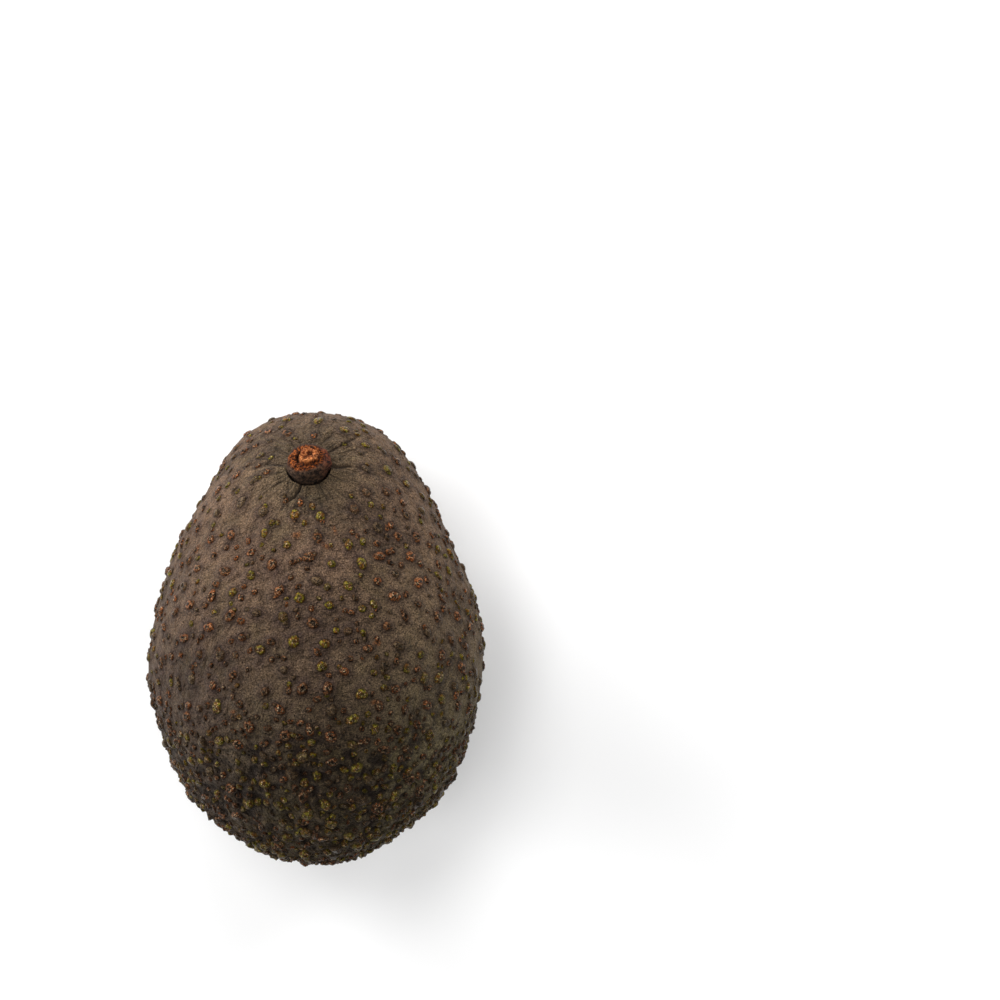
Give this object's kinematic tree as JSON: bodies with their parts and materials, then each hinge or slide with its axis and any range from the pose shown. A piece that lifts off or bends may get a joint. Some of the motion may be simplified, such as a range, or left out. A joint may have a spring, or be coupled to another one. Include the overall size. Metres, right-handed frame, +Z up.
{
  "type": "avocado",
  "caption": "Whole ripe avocado, egg-shaped with dark pebbled skin and a short woody stem button, lying on its side for a food display.",
  "frame": {"origin": "on the surface that the fruit rests on, under the middle of its outline", "axes": "+Y along the fruit towards its stem end, +Z up from the flat spot it rests on, +X to the right with the stem end away from the viewer"},
  "size_m": [0.0715, 0.0952, 0.0694],
  "materials": {
    "skin": "matte leathery taupe-brown skin with purple-dark and olive patches, glossy rust and olive pebble tips",
    "stem": "dry cork: dark grey-brown bark sides, torn rust-orange top"
  },
  "bodies": {
    "root": {"fruit": "skin", "stem_button": "stem"}
  },
  "joints": []
}
